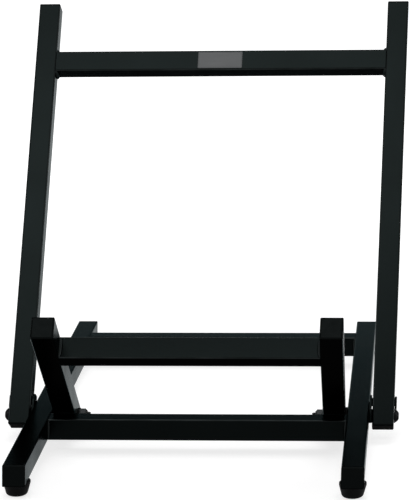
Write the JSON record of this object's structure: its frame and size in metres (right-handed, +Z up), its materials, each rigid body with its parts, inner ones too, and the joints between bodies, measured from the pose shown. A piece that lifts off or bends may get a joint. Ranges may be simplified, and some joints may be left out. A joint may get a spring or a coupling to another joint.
{
  "type": "folding amp stand",
  "caption": "Low tilt-back floor stand of black square steel tube, with a slanted seat and a leaning back frame that both fold flat about one bolted pivot on each side.",
  "frame": {"origin": "middle of the stand's footprint on the floor, under the feet's soles", "axes": "+Z up, +Y towards the back, +X to the right as seen from the front"},
  "size_m": [0.4574, 0.6316, 0.4784],
  "materials": {
    "frame_coat": "black satin powder coat, fine texture",
    "cap_plastic": "black moulded polyethylene, slight sheen",
    "foot_rubber": "black rubber, matte",
    "black_bolt": "black oxide, semi-gloss",
    "zinc_steel": "black-passivated zinc plate",
    "washer_plastic": "black nylon",
    "plate_grey": "dark grey anodised, blank"
  },
  "bodies": {
    "base_frame": {"floor_rail_left": "frame_coat", "floor_rail_right": "frame_coat", "base_front_crossbar": "frame_coat", "base_rear_crossbar": "frame_coat", "rail_front_cap_left": "cap_plastic", "rail_front_cap_right": "cap_plastic", "rail_rear_cap_left": "cap_plastic", "rail_rear_cap_right": "cap_plastic", "foot_front_left": "foot_rubber", "foot_front_right": "foot_rubber", "foot_rear_left": "foot_rubber", "foot_rear_right": "foot_rubber", "foot_screws": "zinc_steel", "stop_bracket_left": "frame_coat", "stop_bracket_right": "frame_coat", "pivot_bolt_left": "black_bolt", "pivot_bolt_right": "black_bolt", "head_washer_left": "black_bolt", "head_washer_right": "black_bolt", "slip_washer_left": "washer_plastic", "slip_washer_right": "washer_plastic", "arm_spacer_left": "washer_plastic", "arm_spacer_right": "washer_plastic", "nut_washer_left": "zinc_steel", "nut_washer_right": "zinc_steel", "lock_nut_left": "zinc_steel", "lock_nut_right": "zinc_steel"},
    "seat_frame": {"seat_arm_left": "frame_coat", "seat_arm_right": "frame_coat", "seat_crossbar": "frame_coat", "arm_front_cap_left": "cap_plastic", "arm_front_cap_right": "cap_plastic", "arm_tail_cap_left": "cap_plastic", "arm_tail_cap_right": "cap_plastic"},
    "back_frame": {"back_upright_left": "frame_coat", "back_upright_right": "frame_coat", "back_crossbar": "frame_coat", "upright_top_cap_left": "cap_plastic", "upright_top_cap_right": "cap_plastic", "upright_bottom_cap_left": "cap_plastic", "upright_bottom_cap_right": "cap_plastic", "name_plate": "plate_grey"}
  },
  "joints": [
    {"name": "back_fold", "type": "hinge", "parent": "base_frame", "child": "back_frame", "pos_m": [0, -0.07875, 0.0285], "axis": [1, 0, 0], "range_deg": [0, 118.4]},
    {"name": "seat_fold", "type": "hinge", "parent": "base_frame", "child": "seat_frame", "pos_m": [0, -0.07875, 0.0285], "axis": [-1, 0, 0], "range_deg": [0, 143.4]}
  ]
}
